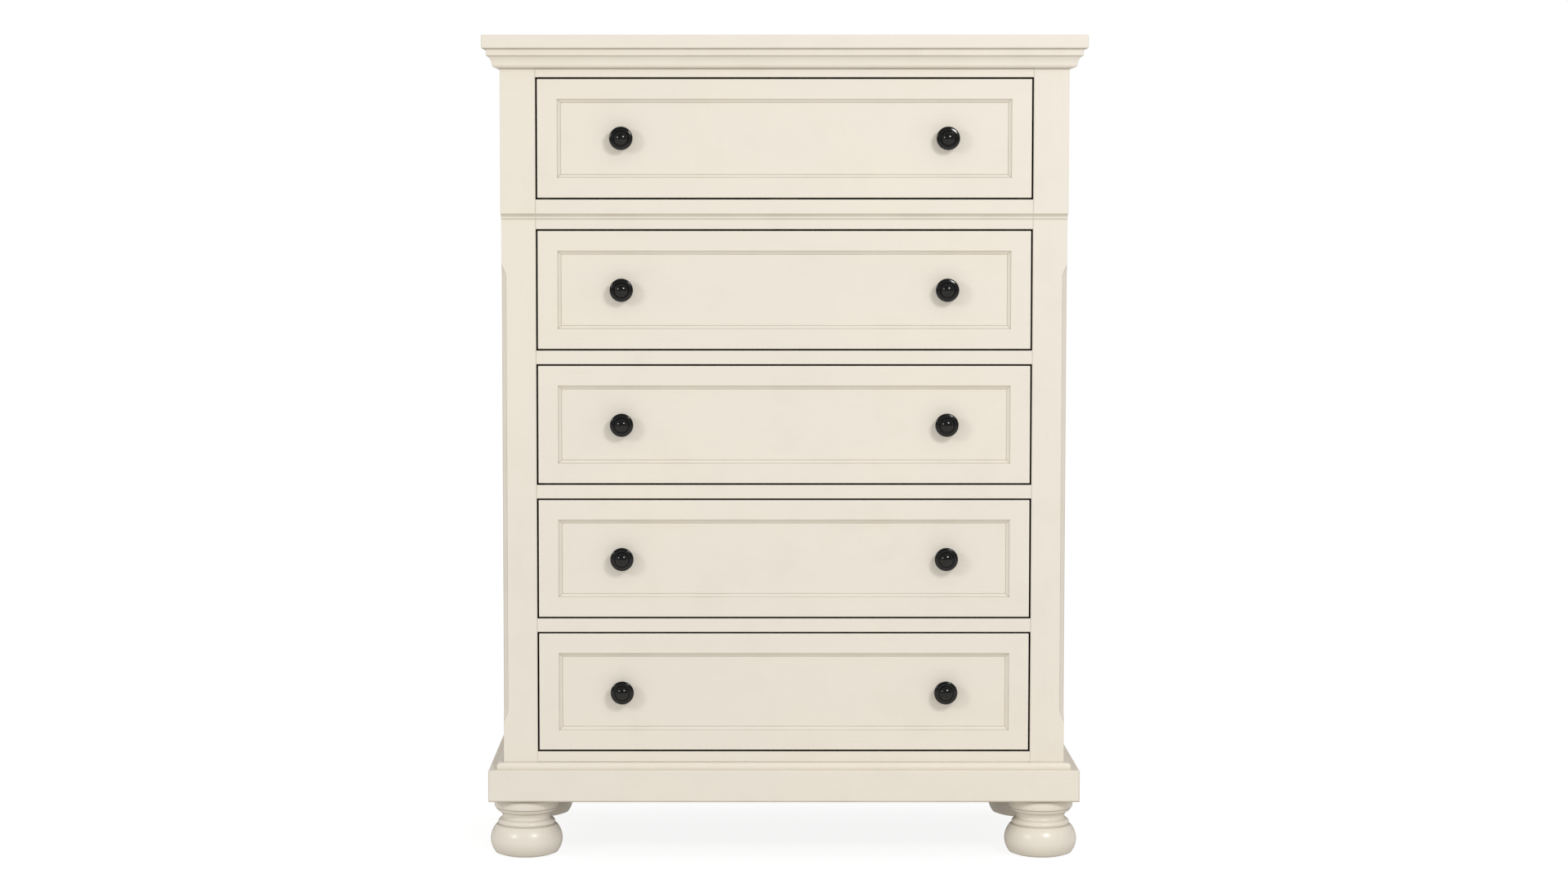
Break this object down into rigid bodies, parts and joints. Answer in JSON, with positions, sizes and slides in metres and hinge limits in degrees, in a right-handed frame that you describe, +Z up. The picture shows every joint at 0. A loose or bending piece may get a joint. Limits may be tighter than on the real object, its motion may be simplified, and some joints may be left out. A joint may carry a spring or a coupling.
{
  "type": "tall chest of drawers",
  "caption": "Tall painted cottage chest with a stack of inset panelled drawers, round black knobs, a coved cornice, a stepped plinth and turned bun feet.",
  "frame": {"origin": "on the floor, under the middle of the chest's bounding box", "axes": "+Z up, -Y out of the drawer fronts, +X to the right of a viewer facing the fronts"},
  "size_m": [0.998, 0.482, 1.372],
  "materials": {
    "painted_case": "antique white paint with a soft tan glaze in the joints, low satin",
    "painted_front": "antique white paint, low satin, glaze in the moulding",
    "painted_foot": "antique white paint, satin, on turned wood",
    "black_knob": "satin black",
    "drawer_wood": "clear-lacquered pale hardwood",
    "plywood": "sanded plywood"
  },
  "bodies": {
    "carcass": {"top_panel": "painted_case", "cornice_board": "painted_case", "left_front_post": "painted_case", "right_front_post": "painted_case", "top_rail": "painted_case", "waist_rail": "painted_case", "rail_2_3": "painted_case", "rail_3_4": "painted_case", "rail_4_5": "painted_case", "bottom_board": "painted_case", "left_side_panel": "painted_case", "right_side_panel": "painted_case", "back_panel": "plywood", "plinth_front": "painted_case", "plinth_left": "painted_case", "plinth_right": "painted_case", "front_left_foot": "painted_foot", "front_right_foot": "painted_foot", "rear_left_foot": "painted_foot", "rear_right_foot": "painted_foot", "drawer_1_guide": "drawer_wood", "drawer_2_guide": "drawer_wood", "drawer_3_guide": "drawer_wood", "drawer_4_guide": "drawer_wood", "drawer_5_guide": "drawer_wood"},
    "drawer_1": {"drawer_1_front": "painted_front", "drawer_1_left_side": "drawer_wood", "drawer_1_right_side": "drawer_wood", "drawer_1_back": "drawer_wood", "drawer_1_bottom": "plywood", "drawer_1_left_knob": "black_knob", "drawer_1_right_knob": "black_knob"},
    "drawer_2": {"drawer_2_front": "painted_front", "drawer_2_left_side": "drawer_wood", "drawer_2_right_side": "drawer_wood", "drawer_2_back": "drawer_wood", "drawer_2_bottom": "plywood", "drawer_2_left_knob": "black_knob", "drawer_2_right_knob": "black_knob"},
    "drawer_3": {"drawer_3_front": "painted_front", "drawer_3_left_side": "drawer_wood", "drawer_3_right_side": "drawer_wood", "drawer_3_back": "drawer_wood", "drawer_3_bottom": "plywood", "drawer_3_left_knob": "black_knob", "drawer_3_right_knob": "black_knob"},
    "drawer_4": {"drawer_4_front": "painted_front", "drawer_4_left_side": "drawer_wood", "drawer_4_right_side": "drawer_wood", "drawer_4_back": "drawer_wood", "drawer_4_bottom": "plywood", "drawer_4_left_knob": "black_knob", "drawer_4_right_knob": "black_knob"},
    "drawer_5": {"drawer_5_front": "painted_front", "drawer_5_left_side": "drawer_wood", "drawer_5_right_side": "drawer_wood", "drawer_5_back": "drawer_wood", "drawer_5_bottom": "plywood", "drawer_5_left_knob": "black_knob", "drawer_5_right_knob": "black_knob"}
  },
  "joints": [
    {"name": "drawer_1_slide", "type": "slide", "parent": "carcass", "child": "drawer_1", "axis": [0, -1, 0], "range_m": [0, 0.32]},
    {"name": "drawer_2_slide", "type": "slide", "parent": "carcass", "child": "drawer_2", "axis": [0, -1, 0], "range_m": [0, 0.32]},
    {"name": "drawer_3_slide", "type": "slide", "parent": "carcass", "child": "drawer_3", "axis": [0, -1, 0], "range_m": [0, 0.32]},
    {"name": "drawer_4_slide", "type": "slide", "parent": "carcass", "child": "drawer_4", "axis": [0, -1, 0], "range_m": [0, 0.32]},
    {"name": "drawer_5_slide", "type": "slide", "parent": "carcass", "child": "drawer_5", "axis": [0, -1, 0], "range_m": [0, 0.32]}
  ]
}
